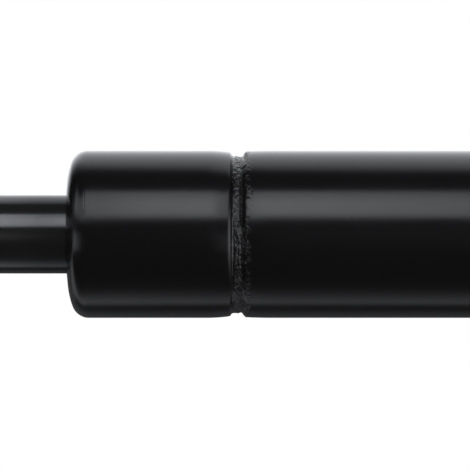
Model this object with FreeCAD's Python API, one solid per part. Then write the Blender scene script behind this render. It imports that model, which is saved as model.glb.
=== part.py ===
"""Gas spring with a black painted pressure tube, a nitrided rod and an angle ball joint at each end.

Millimetres. The origin is the ball centre of the joint at the tube's closed end. The spring lies along X,
with its rod towards -X, and both ball studs hang down along -Z. It is built at rest, fully extended.
"""

import FreeCAD, Part
import math
import os

V = FreeCAD.Vector
X = V(1, 0, 0)
Z = V(0, 0, 1)

# Rod and tube. The two diameters are in the ratio that the photograph shows.
ROD_D = 10.0
TUBE_D = 21.3
TUBE_WALL = 1.2
STROKE = 80.0
ROD_LEFT_OUT = 6.0
ROOM_BEHIND_PISTON = 4.5

# Curled ends of the tube: a rounded lip, a shallow cone, a dome and a tight corner.
LIP_GAP = 0.3
LIP_EDGE_R = 0.24
CURL_CONE_DEG = 5.0
CURL_CONE_WIDTH = 1.06
CURL_DOME_R = 10.2
CURL_CORNER_R = 2.2

# Groove rolled into the tube at each end. Its wall is steep towards the lip and easy behind.
GROOVE_DEPTH = 0.68
GROOVE_STEEP_RUN = 0.3
GROOVE_FLOOR = 0.87
GROOVE_EASY_RUN = 0.65
GROOVE_ROUND_R = 0.2
SHOULDER_RUN = 3.1
LIP_SIDE_DROP = 0.24
FAR_SIDE_DROP = 0.14

# Guide and seal package, from the rod's exit inwards.
GUIDE_LENGTH = 10.3
GUIDE_RELIEF = 2.6
BUSH_LENGTH = 8.0
BUSH_WALL = 1.0
BUSH_SEAM = 0.3
SEAL_LENGTH = 6.0
SEAL_GROOVE_WIDTH = 1.4
SEAL_GROOVE_DEPTH = 2.6
SEAL_LIP_PITCH = 0.5
SEAL_LIP_RELIEF = 0.45
SUPPORT_LENGTH = 3.5

# Piston package on the rod's inner end.
PIN_D = 6.0
FRONT_WASHER_T = 2.0
PISTON_LENGTH = 8.0
RING_WIDTH = 2.0
RING_THICKNESS = 2.1
RING_PLAY = 0.15
RING_SPLIT = 0.5
RING_LAND = 3.0
GAS_NOTCHES = 4
GAS_NOTCH_WIDTH = 2.0
DISC_T = 0.8
DISC_D = 13.0
ORIFICE_D = 0.9
BACK_WASHER_T = 1.2
BACK_WASHER_D = 14.5
RIVET_HEAD_D = 8.8
RIVET_HEAD_H = 2.2

# End plug and its seal.
PLUG_LENGTH = 14.0
BOSS_D = 12.0
BOSS_PROUD = 0.6
REAR_GROOVE_FROM_LIP = 5.6
O_RING_SECTION = 1.5
O_RING_LAND = 2.2

# M8 threads, drawn at their outer diameter, and what screws on to them.
THREAD_D = 8.0
THREAD_CHAMFER = 0.8
RELIEF_LENGTH = 1.2
RELIEF_DEPTH = 0.7
NUT_T = 4.0
NUT_ACROSS_FLATS = 13.0
THREAD_IN_SOCKET = 12.0
SOCKET_THREAD_DEPTH = 14.0
DRILL_POINT_DEG = 31.0

# Angle ball joints.
BALL_D = 13.0
SOCKET_REACH = 30.0
SOCKET_HEAD_D = 19.3
SOCKET_SHANK_D = 13.0
SOCKET_ABOVE_BALL = 8.0
SOCKET_BELOW_BALL = 5.5
SOCKET_TOP_R = 1.6
STUD_NECK_D = 8.0
HEX_ACROSS_FLATS = 13.0
HEX_FROM_BALL = 8.0
HEX_T = 5.0
STUD_THREAD_LENGTH = 16.5

# Wire clip that keeps each ball in its socket.
CLIP_WIRE_D = 1.2
CLIP_BELOW_BALL = 3.4
CLIP_BEND_R = 1.3
CLIP_BAIL_FROM_HEAD = 2.6
CLIP_TIP_OUT = 1.0
CLIP_TIP_RUN = 1.6

# Clearances and broken edges.
FIT = 0.03
BALL_GAP = 0.05
PISTON_GAP = 0.12
WASHER_GAP = 0.1
STOP_GAP = 0.3
CLIP_GAP = 0.05
SLOT_GAP = 0.1
NOSE_GAP = 0.15
EDGE = 0.5
FINE_EDGE = 0.2
PAST = 1.0

# Radii that follow from the sizes above.
rod_r = ROD_D / 2
tube_r = TUBE_D / 2
bore_r = tube_r - TUBE_WALL
thread_r = THREAD_D / 2
tapped_r = thread_r + FIT
pin_r = PIN_D / 2
on_pin_r = pin_r + FIT
on_rod_r = rod_r + FIT
in_bore_r = bore_r - FIT
ball_r = BALL_D / 2
wire_r = CLIP_WIRE_D / 2
front_hole_r = rod_r + LIP_GAP
rear_hole_r = BOSS_D / 2 + LIP_GAP
behind_curl = TUBE_WALL + FIT
groove_width = GROOVE_STEEP_RUN + GROOVE_FLOOR + GROOVE_EASY_RUN

# Depths behind the tube's front lip, in the order that the pieces stand.
guide_front = behind_curl
bush_front = guide_front + (GUIDE_LENGTH - BUSH_LENGTH) / 2
seal_front = guide_front + GUIDE_LENGTH
support_front = seal_front + SEAL_LENGTH
groove_front = support_front + SUPPORT_LENGTH
stop_front = groove_front + groove_width + STOP_GAP
piston_front = stop_front + FRONT_WASHER_T
disc_front = piston_front + PISTON_LENGTH
back_washer_front = disc_front + DISC_T
rivet_front = back_washer_front + BACK_WASHER_T
rivet_end = rivet_front + RIVET_HEAD_H
tube_length = rivet_end + STROKE + ROOM_BEHIND_PISTON + PLUG_LENGTH + behind_curl

# Places along X.
nut_to_ball = NUT_T + SOCKET_REACH
rear_lip_x = -nut_to_ball - BOSS_PROUD
front_lip_x = rear_lip_x - tube_length
shoulder_x = front_lip_x - STROKE - ROD_LEFT_OUT
rod_ball_x = shoulder_x - nut_to_ball


def sketch(points, place):
    """A closed face. A point is (along, radius), or an arc's middle and end as a pair of such points."""
    edges = []
    here = points[0]
    for step in points[1:] + points[:1]:
        curved = isinstance(step[0], tuple)
        end = step[1] if curved else step
        if curved:
            edges.append(Part.Arc(place(*here), place(*step[0]), place(*end)).toShape())
        elif math.dist(here, end) > 1e-7:
            edges.append(Part.LineSegment(place(*here), place(*end)).toShape())
        here = end
    return Part.Face(Part.Wire(edges))


def turned_on_x(points):
    return sketch(points, lambda x, r: V(x, 0, r)).revolve(V(), X, 360)


def turned_on_z(points):
    return sketch(points, lambda z, r: V(r, 0, z)).revolve(V(), Z, 360)


def mapped(points, station):
    """The same points with each distance along the axis turned into a place."""
    moved = []
    for step in points:
        if isinstance(step[0], tuple):
            moved.append(tuple((station(x), r) for x, r in step))
        else:
            moved.append((station(step[0]), step[1]))
    return moved


def from_front(points):
    """Turns a section whose distances are depths behind the tube's front lip."""
    return turned_on_x(mapped(points, lambda depth: front_lip_x + depth))


def from_rear(points):
    """Turns a section whose distances are depths ahead of the tube's rear lip."""
    return turned_on_x(mapped(points, lambda depth: rear_lip_x - depth))


def ring(front, thickness, outer_r, inner_r, edge=FINE_EDGE):
    """A flat ring inside the tube, with its outer edges broken."""
    back = front + thickness
    return from_front([
        (front, inner_r),
        (front, outer_r - edge),
        (front + edge, outer_r),
        (back - edge, outer_r),
        (back, outer_r - edge),
        (back, inner_r),
    ])


def around(centre, radius, angle):
    """A point on an arc, at an angle from the direction of the lip towards the tube's side."""
    return (centre[0] - radius * math.cos(angle), centre[1] + radius * math.sin(angle))


def swept(centre, radius, first, last):
    """An arc's middle and end."""
    return (around(centre, radius, (first + last) / 2), around(centre, radius, last))


def curl(hole_r, inset, start_r=0):
    """A curled end's section at an inset from its outside: the cone, the dome and the corner.

    It begins at the lip's edge, or on the dome at start_r where that is given.
    """
    cone = math.radians(CURL_CONE_DEG)
    side = math.pi / 2
    lip = (LIP_EDGE_R, hole_r + LIP_EDGE_R)
    cone_start = around(lip, LIP_EDGE_R - inset, cone)
    cone_end_x = LIP_EDGE_R * (1 - math.cos(cone)) + CURL_CONE_WIDTH * math.tan(cone)
    cone_end_r = hole_r + LIP_EDGE_R * (1 + math.sin(cone)) + CURL_CONE_WIDTH
    dome = (cone_end_x + CURL_DOME_R * math.cos(cone), cone_end_r - CURL_DOME_R * math.sin(cone))
    reach = CURL_DOME_R - CURL_CORNER_R
    turn = math.asin((tube_r - CURL_CORNER_R - dome[1]) / reach)
    corner = (dome[0] - reach * math.cos(turn), tube_r - CURL_CORNER_R)
    dome_r = CURL_DOME_R - inset
    bend = swept(corner, CURL_CORNER_R - inset, turn, side)
    if start_r:
        first = math.asin((start_r - dome[1]) / dome_r)
        return [around(dome, dome_r, first), swept(dome, dome_r, first, turn), bend]
    return [cone_start, around(dome, dome_r, cone), swept(dome, dome_r, cone, turn), bend]


def rounded(corners, radius):
    """Straight runs between corners, with every corner but the first and last rounded."""
    points = [corners[0]]
    for before, corner, after in zip(corners, corners[1:], corners[2:]):
        here = V(*corner, 0)
        back = (V(*before, 0) - here).normalize()
        ahead = (V(*after, 0) - here).normalize()
        half = back.getAngle(ahead) / 2
        cut = radius / math.tan(half)
        towards = (back + ahead).normalize()
        middle = here + towards * (radius / math.sin(half) - radius)
        start, end = here + back * cut, here + ahead * cut
        points += [(start.x, start.y), ((middle.x, middle.y), (end.x, end.y))]
    return points + [corners[-1]]


def rolled_groove(start, inset):
    """The groove's section from one drawn-in shoulder to the other, at an inset from the tube's outside."""
    full_r = tube_r - inset
    lip_side_r = full_r - LIP_SIDE_DROP
    far_side_r = full_r - FAR_SIDE_DROP
    floor_r = full_r - GROOVE_DEPTH
    floor_start = start + GROOVE_STEEP_RUN
    end = start + groove_width
    shoulder_start = start - SHOULDER_RUN
    shoulder_end = end + SHOULDER_RUN
    mouth = rounded([
        (start - GROOVE_ROUND_R, lip_side_r),
        (start, lip_side_r),
        (floor_start, floor_r),
        (floor_start + GROOVE_FLOOR, floor_r),
        (end, far_side_r),
        (end + GROOVE_ROUND_R, far_side_r),
    ], GROOVE_ROUND_R)
    lip_side = ((shoulder_start + SHOULDER_RUN / 2, full_r - LIP_SIDE_DROP / 4), mouth[0])
    far_side = ((shoulder_end - SHOULDER_RUN / 2, full_r - FAR_SIDE_DROP / 4), (shoulder_end, full_r))
    return [(shoulder_start, full_r), lip_side] + mouth[1:] + [far_side]


def tube_half(turned, hole_r, groove_start, length):
    """One curled end with its groove, up to where the halves meet."""
    lip = (LIP_EDGE_R, hole_r + LIP_EDGE_R)
    lip_round = swept(lip, LIP_EDGE_R, -math.pi / 2, math.radians(CURL_CONE_DEG))
    outside = [(LIP_EDGE_R, hole_r), lip_round] + curl(hole_r, 0)[1:]
    outside += rolled_groove(groove_start, 0) + [(length, tube_r), (length, hole_r)]
    inside = [(TUBE_WALL, hole_r)] + curl(hole_r, TUBE_WALL)
    inside += rolled_groove(groove_start, TUBE_WALL) + [(length, bore_r), (length, hole_r)]
    return turned(outside).cut(turned(inside))


def pressure_tube():
    front_length = tube_length / 2
    front = tube_half(from_front, front_hole_r, groove_front, front_length)
    rear = tube_half(from_rear, rear_hole_r, REAR_GROOVE_FROM_LIP, tube_length - front_length)
    return front.fuse(rear).removeSplitter()


def rod_guide():
    """Holds the bush and fills the curled end, whose inside it follows."""
    seat_r = on_rod_r + BUSH_WALL
    mouth_r = seat_r - BUSH_WALL / 2
    back = guide_front + GUIDE_LENGTH
    relief_start = guide_front + (GUIDE_LENGTH - GUIDE_RELIEF) / 2
    relief_end = relief_start + GUIDE_RELIEF
    nose = curl(front_hole_r, guide_front, front_hole_r + LIP_EDGE_R + CURL_CONE_WIDTH)
    return from_front([(nose[0][0], mouth_r)] + nose[:-1] + [
        (nose[-1][0], (nose[-1][1][0], in_bore_r)),
        (relief_start, in_bore_r),
        (relief_start + EDGE, in_bore_r - EDGE),
        (relief_end - EDGE, in_bore_r - EDGE),
        (relief_end, in_bore_r),
        (back - FINE_EDGE, in_bore_r),
        (back, in_bore_r - FINE_EDGE),
        (back, seat_r + EDGE),
        (back - EDGE, seat_r),
        (bush_front, seat_r),
        (bush_front, mouth_r),
    ])


def seam_cut(front, length, width, top_r):
    """A slot along the top of a ring, for a seam or a split."""
    slot = Part.makeBox(length + 2 * PAST, width, top_r)
    slot.translate(V(front_lip_x + front - PAST, -width / 2, 0))
    return slot


def guide_bush():
    """A wrapped bearing liner, so it has a seam along its length."""
    front = bush_front + FIT
    length = BUSH_LENGTH - FIT
    liner = ring(front, length, on_rod_r + BUSH_WALL - FIT, on_rod_r)
    return liner.cut(seam_cut(front, length, BUSH_SEAM, bore_r))


def seal_groove(gap):
    """The inner and outer radius of the seal's groove, or of what stands in it with a gap."""
    middle = (on_rod_r + in_bore_r) / 2
    half = SEAL_GROOVE_WIDTH / 2 - gap
    return middle - half, middle + half


def rod_seal():
    """A rubber ring with a dust lip in front and a pressure lip behind, and a groove in its back."""
    front = seal_front + FIT
    back = support_front - FIT
    groove_inner, groove_outer = seal_groove(0)
    groove_floor = back - SEAL_GROOVE_DEPTH
    free_r = on_rod_r + SEAL_LIP_RELIEF
    return from_front([
        (front, in_bore_r - FINE_EDGE),
        (front + FINE_EDGE, in_bore_r),
        (back, in_bore_r),
        (back, groove_outer),
        (groove_floor, groove_outer),
        (groove_floor, groove_inner),
        (back - SEAL_LIP_PITCH, groove_inner),
        (back - SEAL_LIP_PITCH, free_r),
        (back - 2 * SEAL_LIP_PITCH, on_rod_r),
        (back - 3 * SEAL_LIP_PITCH, free_r),
        (front + 3 * SEAL_LIP_PITCH, free_r),
        (front + 2 * SEAL_LIP_PITCH, on_rod_r),
        (front + SEAL_LIP_PITCH, free_r),
        (front, free_r),
    ])


def seal_support_ring():
    """A plastic ring against the bead. Its nose stands in the seal's groove and keeps the lips apart."""
    inner_r = on_rod_r + LIP_GAP
    outer_r = bore_r - LIP_SIDE_DROP - FIT
    nose_inner, nose_outer = seal_groove(NOSE_GAP)
    nose = support_front - SEAL_GROOVE_DEPTH + NOSE_GAP
    back = groove_front - FIT
    return from_front([
        (support_front, inner_r),
        (support_front, nose_inner),
        (nose, nose_inner),
        (nose, nose_outer),
        (support_front, nose_outer),
        (support_front, outer_r),
        (back, outer_r),
        (back, inner_r + EDGE),
        (back - EDGE, inner_r),
    ])


def end_plug():
    """Closes the tube behind. The curl and the bead in its groove lock it, and it carries an M8 stud."""
    boss_r = BOSS_D / 2
    tip = -BOSS_PROUD - NUT_T - THREAD_IN_SOCKET
    lock_start = REAR_GROOVE_FROM_LIP
    lock_end = lock_start + groove_width
    lock_r = bore_r - GROOVE_DEPTH - FIT
    lip_side_r = bore_r - LIP_SIDE_DROP - FIT
    far_side_r = bore_r - FAR_SIDE_DROP - FIT
    inner_end = behind_curl + PLUG_LENGTH
    ring_far = inner_end - O_RING_LAND
    ring_near = ring_far - O_RING_SECTION - 2 * FIT
    ring_floor = in_bore_r - O_RING_SECTION - FIT
    nose = curl(rear_hole_r, behind_curl, rear_hole_r + LIP_EDGE_R + CURL_CONE_WIDTH)
    return from_rear([
        (tip, 0),
        (tip, thread_r - THREAD_CHAMFER),
        (tip + THREAD_CHAMFER, thread_r),
        (-BOSS_PROUD, thread_r),
        (-BOSS_PROUD, boss_r - FINE_EDGE),
        (-BOSS_PROUD + FINE_EDGE, boss_r),
        (nose[0][0], boss_r),
    ] + nose + [
        (lock_start - SHOULDER_RUN, lip_side_r),
        (lock_start - GROOVE_STEEP_RUN, lip_side_r),
        (lock_start, lock_r),
        (lock_end, lock_r),
        (lock_end + GROOVE_STEEP_RUN, far_side_r),
        (lock_end + SHOULDER_RUN, far_side_r),
        (lock_end + SHOULDER_RUN + FINE_EDGE, in_bore_r),
        (ring_near, in_bore_r),
        (ring_near, ring_floor),
        (ring_far, ring_floor),
        (ring_far, in_bore_r),
        (inner_end - EDGE, in_bore_r),
        (inner_end, in_bore_r - EDGE),
        (inner_end, 0),
    ])


def plug_o_ring():
    section_r = O_RING_SECTION / 2
    depth = behind_curl + PLUG_LENGTH - O_RING_LAND - section_r - FIT
    return Part.makeTorus(in_bore_r - section_r, section_r, V(rear_lip_x - depth, 0, 0), X)


def piston_rod():
    """Thread, relief and shoulder outside, a long ground shaft, and a riveted pin inside."""
    tip = shoulder_x - NUT_T - THREAD_IN_SOCKET
    relief_r = thread_r - RELIEF_DEPTH
    relief_x = shoulder_x - RELIEF_LENGTH
    seat_x = front_lip_x + stop_front
    rivet_x = front_lip_x + rivet_front
    head_r = RIVET_HEAD_D / 2
    crown_r = (head_r ** 2 + RIVET_HEAD_H ** 2) / (2 * RIVET_HEAD_H)
    crown_centre_x = rivet_x + RIVET_HEAD_H - crown_r
    half = math.asin(head_r / crown_r) / 2
    crown_middle = (crown_centre_x + crown_r * math.cos(half), crown_r * math.sin(half))
    return turned_on_x([
        (tip, 0),
        (tip, thread_r - THREAD_CHAMFER),
        (tip + THREAD_CHAMFER, thread_r),
        (relief_x - RELIEF_DEPTH, thread_r),
        (relief_x, relief_r),
        (shoulder_x, relief_r),
        (shoulder_x, rod_r - EDGE),
        (shoulder_x + EDGE, rod_r),
        (seat_x, rod_r),
        (seat_x, pin_r),
        (rivet_x, pin_r),
        (rivet_x, head_r),
        (crown_middle, (rivet_x + RIVET_HEAD_H, 0)),
    ])


def piston():
    """A spool with a groove for its ring, and notches through both rims for the gas."""
    rim_r = bore_r - PISTON_GAP
    floor_r = bore_r - RING_THICKNESS - 2 * RING_PLAY
    ring_near = piston_front + RING_LAND
    ring_far = ring_near + RING_WIDTH + 2 * RING_PLAY
    body = from_front([
        (piston_front, on_pin_r),
        (piston_front, rim_r - 2 * EDGE),
        (piston_front + 2 * EDGE, rim_r),
        (ring_near, rim_r),
        (ring_near, floor_r),
        (ring_far, floor_r),
        (ring_far, rim_r),
        (disc_front - EDGE, rim_r),
        (disc_front, rim_r - EDGE),
        (disc_front, on_pin_r),
    ])
    for index in range(GAS_NOTCHES):
        notch = seam_cut(piston_front, PISTON_LENGTH, GAS_NOTCH_WIDTH, bore_r)
        notch.translate(V(0, 0, floor_r - EDGE))
        notch.rotate(V(), X, 360 * (index + 0.5) / GAS_NOTCHES)
        body = body.cut(notch)
    return body


def piston_ring():
    """A split ring that slides in the tube with the piston, which turns inside it."""
    front = piston_front + RING_LAND + RING_PLAY
    whole = ring(front, RING_WIDTH, in_bore_r, bore_r - RING_THICKNESS)
    return whole.cut(seam_cut(front, RING_WIDTH, RING_SPLIT, bore_r))


def orifice_disc():
    """A thin disc with the small hole that meters the gas."""
    outer_r = DISC_D / 2
    disc = ring(disc_front, DISC_T, outer_r, on_pin_r)
    start = V(front_lip_x + disc_front - PAST, 0, (pin_r + outer_r) / 2)
    return disc.cut(Part.makeCylinder(ORIFICE_D / 2, DISC_T + 2 * PAST, start, X))


def hexagon(across_flats, turned, start, thickness, both_ends):
    """A hexagon on X or Z with its corners turned off at 30 degrees, at its far end or at both."""
    corner_r = across_flats / math.sqrt(3)
    rim_r = across_flats / 2 - FINE_EDGE
    drop = (corner_r - rim_r) * math.tan(math.pi / 6)
    end = start + thickness
    near = [(start, rim_r), (start + drop, corner_r)] if both_ends else [(start, corner_r)]
    blank = turned([(start, 0)] + near + [(end - drop, corner_r), (end, rim_r), (end, 0)])
    flat_cutter_r = 2 * corner_r
    for index in range(6):
        cutter = Part.makeBox(flat_cutter_r, flat_cutter_r, thickness + 2 * PAST)
        cutter.translate(V(across_flats / 2, -corner_r, start - PAST))
        cutter.rotate(V(), Z, 60 * index)
        if turned is turned_on_x:
            cutter.rotate(V(), V(0, 1, 0), 90)
        blank = blank.cut(cutter)
    return blank


def lock_nut(start):
    """A thin hexagon nut on an M8 thread along X."""
    end = start + NUT_T
    bore = turned_on_x([
        (start, 0),
        (start, tapped_r + EDGE),
        (start + EDGE, tapped_r),
        (end - EDGE, tapped_r),
        (end, tapped_r + EDGE),
        (end, 0),
    ])
    return hexagon(NUT_ACROSS_FLATS, turned_on_x, start, NUT_T, True).cut(bore)


def clip_leg_y():
    """Where the clip's legs run, so that its bail just clears the round shank."""
    bail_r = clip_bail_r()
    return math.sqrt(bail_r ** 2 + CLIP_BEND_R ** 2 - CLIP_BELOW_BALL ** 2)


def clip_bail_r():
    return SOCKET_SHANK_D / 2 + wire_r + CLIP_GAP


def ball_socket():
    """The socket at the origin, with its shank towards -X and its mouth down."""
    head_r = SOCKET_HEAD_D / 2
    shank_r = SOCKET_SHANK_D / 2
    cavity_r = ball_r + BALL_GAP
    top = SOCKET_ABOVE_BALL
    mouth = -SOCKET_BELOW_BALL
    slant = SOCKET_TOP_R * math.sqrt(0.5)
    round_centre = (top - SOCKET_TOP_R, head_r - SOCKET_TOP_R)
    head = turned_on_z([
        (mouth, 0),
        (mouth, head_r - EDGE),
        (mouth + EDGE, head_r),
        (round_centre[0], head_r),
        ((round_centre[0] + slant, round_centre[1] + slant), (top, round_centre[1])),
        (top, 0),
    ])
    shank = turned_on_x([
        (-SOCKET_REACH, 0),
        (-SOCKET_REACH, shank_r - 2 * EDGE),
        (-SOCKET_REACH + 2 * EDGE, shank_r),
        (0, shank_r),
        (0, 0),
    ])
    cavity = turned_on_z([
        (mouth - PAST, 0),
        (mouth - PAST, cavity_r + EDGE),
        (mouth, cavity_r + EDGE),
        (mouth + EDGE, cavity_r),
        (0, cavity_r),
        ((cavity_r * math.sqrt(0.5), cavity_r * math.sqrt(0.5)), (cavity_r, 0)),
    ])
    thread_end = -SOCKET_REACH + SOCKET_THREAD_DEPTH
    tapping = turned_on_x([
        (-SOCKET_REACH - PAST, 0),
        (-SOCKET_REACH - PAST, tapped_r + EDGE),
        (-SOCKET_REACH, tapped_r + EDGE),
        (-SOCKET_REACH + EDGE, tapped_r),
        (thread_end, tapped_r),
        (thread_end + tapped_r * math.tan(math.radians(DRILL_POINT_DEG)), 0),
    ])
    body = head.fuse(shank).cut(cavity).cut(tapping)
    slot_floor = clip_leg_y() - wire_r - SLOT_GAP
    slot_height = CLIP_WIRE_D + 2 * SLOT_GAP
    for side_y in (slot_floor, -slot_floor - head_r):
        slot = Part.makeBox(2 * head_r, head_r, slot_height)
        slot.translate(V(-head_r, side_y, -CLIP_BELOW_BALL - slot_height / 2))
        body = body.cut(slot)
    return body.removeSplitter()


def safety_clip():
    """A spring wire whose bail snaps over the shank and whose legs pass through the slots under the ball."""
    leg_y = clip_leg_y()
    leg_z = -CLIP_BELOW_BALL
    bail_r = clip_bail_r()
    bail_x = -SOCKET_HEAD_D / 2 - CLIP_BAIL_FROM_HEAD
    bend_x = bail_x + CLIP_BEND_R
    rise = math.atan2(leg_z, leg_y) + math.atan2(CLIP_BEND_R, bail_r)
    exit_x = math.sqrt((SOCKET_HEAD_D / 2) ** 2 - leg_y ** 2)
    kink_r = CLIP_WIRE_D
    splay = math.atan2(CLIP_TIP_OUT, CLIP_TIP_RUN)

    def bend_at(angle, side):
        """The turn from the leg's direction, -X, to the bail's direction."""
        out = CLIP_BEND_R * (1 - math.cos(angle))
        return V(bend_x - CLIP_BEND_R * math.sin(angle), side * (leg_y - out * math.sin(rise)),
                 leg_z + out * math.cos(rise))

    def kink_at(angle, side):
        """The turn from the leg's direction, +X, to the tip's direction."""
        out = kink_r * (1 - math.cos(angle))
        return V(exit_x + kink_r * math.sin(angle), side * (leg_y + out), leg_z)

    edges = []
    right = math.pi / 2
    for side in (1, -1):
        tip = kink_at(splay, side) + V(CLIP_TIP_RUN, side * CLIP_TIP_OUT, 0)
        half = [
            Part.LineSegment(tip, kink_at(splay, side)),
            Part.Arc(kink_at(splay, side), kink_at(splay / 2, side), kink_at(0, side)),
            Part.LineSegment(kink_at(0, side), bend_at(0, side)),
            Part.Arc(bend_at(0, side), bend_at(right / 2, side), bend_at(right, side)),
        ]
        edges += half if side > 0 else half[::-1]
        if side > 0:
            edges.append(Part.Arc(bend_at(right, 1), V(bail_x, 0, bail_r), bend_at(right, -1)))
            start, along = tip, kink_at(splay, side) - tip
    path = Part.Wire(Part.__sortEdges__([edge.toShape() for edge in edges]))
    return path.makePipeShell([Part.Wire(Part.makeCircle(wire_r, start, along))], True, False)


def ball_stud():
    """The stud at the origin, hanging down: ball, neck, hexagon and M8 shank."""
    neck_r = STUD_NECK_D / 2
    seat = -HEX_FROM_BALL - HEX_T
    tip = seat - STUD_THREAD_LENGTH
    neck_angle = math.asin(neck_r / ball_r)
    middle = (math.pi + neck_angle) / 2
    turned = turned_on_z([
        (tip, 0),
        (tip, thread_r - THREAD_CHAMFER),
        (tip + THREAD_CHAMFER, thread_r),
        (seat, thread_r),
        (seat, neck_r),
        (-ball_r * math.cos(neck_angle), neck_r),
        ((-ball_r * math.cos(middle), ball_r * math.sin(middle)), (ball_r, 0)),
    ])
    grip = hexagon(HEX_ACROSS_FLATS, turned_on_z, seat, HEX_T, False)
    return turned.fuse(grip).removeSplitter()


def at_rod_end(shape):
    """Turns a copy of a piece of the tube's joint about Z and moves it to the rod's joint."""
    moved = shape.copy()
    moved.rotate(V(), Z, 180)
    moved.translate(V(rod_ball_x, 0, 0))
    return moved


def nodes():
    stop_r = bore_r - FAR_SIDE_DROP - WASHER_GAP
    shapes = {
        "pressure_tube": pressure_tube(),
        "rod_guide": rod_guide(),
        "guide_bush": guide_bush(),
        "rod_seal": rod_seal(),
        "seal_support_ring": seal_support_ring(),
        "end_plug": end_plug(),
        "plug_o_ring": plug_o_ring(),
        "tube_lock_nut": lock_nut(-nut_to_ball),
        "piston_rod": piston_rod(),
        "piston_front_washer": ring(stop_front, FRONT_WASHER_T, stop_r, on_pin_r),
        "piston": piston(),
        "piston_ring": piston_ring(),
        "orifice_disc": orifice_disc(),
        "piston_back_washer": ring(back_washer_front, BACK_WASHER_T, BACK_WASHER_D / 2, on_pin_r),
        "rod_lock_nut": lock_nut(shoulder_x - NUT_T),
    }
    joint = {"ball_socket": ball_socket(), "safety_clip": safety_clip(), "ball_stud": ball_stud()}
    for name, shape in joint.items():
        shapes["tube_" + name] = shape
        shapes["rod_" + name] = at_rod_end(shape)
    return shapes


os.makedirs("parts", exist_ok=True)
for name, shape in nodes().items():
    solids = shape.Solids
    if len(solids) != 1 or not solids[0].isValid() or solids[0].Volume <= 0:
        raise ValueError(f"{name} is not one valid solid")
    solids[0].exportStep(os.path.join("parts", name + ".step"))
    print(name, round(solids[0].Volume, 1))
print(f"lip {front_lip_x:.2f}, tube {tube_length:.2f}, rod ball {rod_ball_x:.2f}, groove {groove_front:.2f}")
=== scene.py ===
import math

import bmesh
import bpy
from mathutils import Matrix, Vector, noise


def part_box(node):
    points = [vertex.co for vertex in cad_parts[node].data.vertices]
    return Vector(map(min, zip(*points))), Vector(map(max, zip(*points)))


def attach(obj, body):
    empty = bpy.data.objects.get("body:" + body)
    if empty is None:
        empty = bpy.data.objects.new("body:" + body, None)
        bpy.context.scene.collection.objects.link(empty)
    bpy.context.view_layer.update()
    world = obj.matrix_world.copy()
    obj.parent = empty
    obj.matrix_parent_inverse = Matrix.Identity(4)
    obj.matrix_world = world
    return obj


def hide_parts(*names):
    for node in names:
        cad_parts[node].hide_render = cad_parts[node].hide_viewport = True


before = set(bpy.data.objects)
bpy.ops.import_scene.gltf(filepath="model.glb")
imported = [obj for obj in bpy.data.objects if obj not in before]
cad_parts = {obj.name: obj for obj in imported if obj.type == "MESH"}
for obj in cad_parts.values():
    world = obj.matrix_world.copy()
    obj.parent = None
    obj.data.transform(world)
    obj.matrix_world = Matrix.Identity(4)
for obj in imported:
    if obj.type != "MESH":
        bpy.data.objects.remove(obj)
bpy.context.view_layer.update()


# The pressure tube: a drawn steel tube, curled over at both ends, with a groove rolled in near each curl
# whose bead locks the package inside. It is dipped in semi-gloss black paint. The rolling wheel leaves the
# groove's floor rough and throws up a wavy, flaked edge on the far side.
mm = 0.001
touching = 0.0002 * mm
sharp_edge = math.radians(35)

tube_r = 10.65
tube_wall = 1.2
tube_steps = 432
front_lip_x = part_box("pressure_tube")[0].x / mm
rear_lip_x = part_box("pressure_tube")[1].x / mm
front_hole_r = 5.3
rear_hole_r = 6.3

lip_edge_r = 0.24
cone_slope = math.radians(5.0)
cone_width = 1.06
dome_r = 10.2
corner_r = 2.2

front_lip_to_groove = 21.03
rear_lip_to_groove = 5.6
groove_depth = 0.68
groove_end = 1.82
shoulder_run = 3.1


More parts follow.
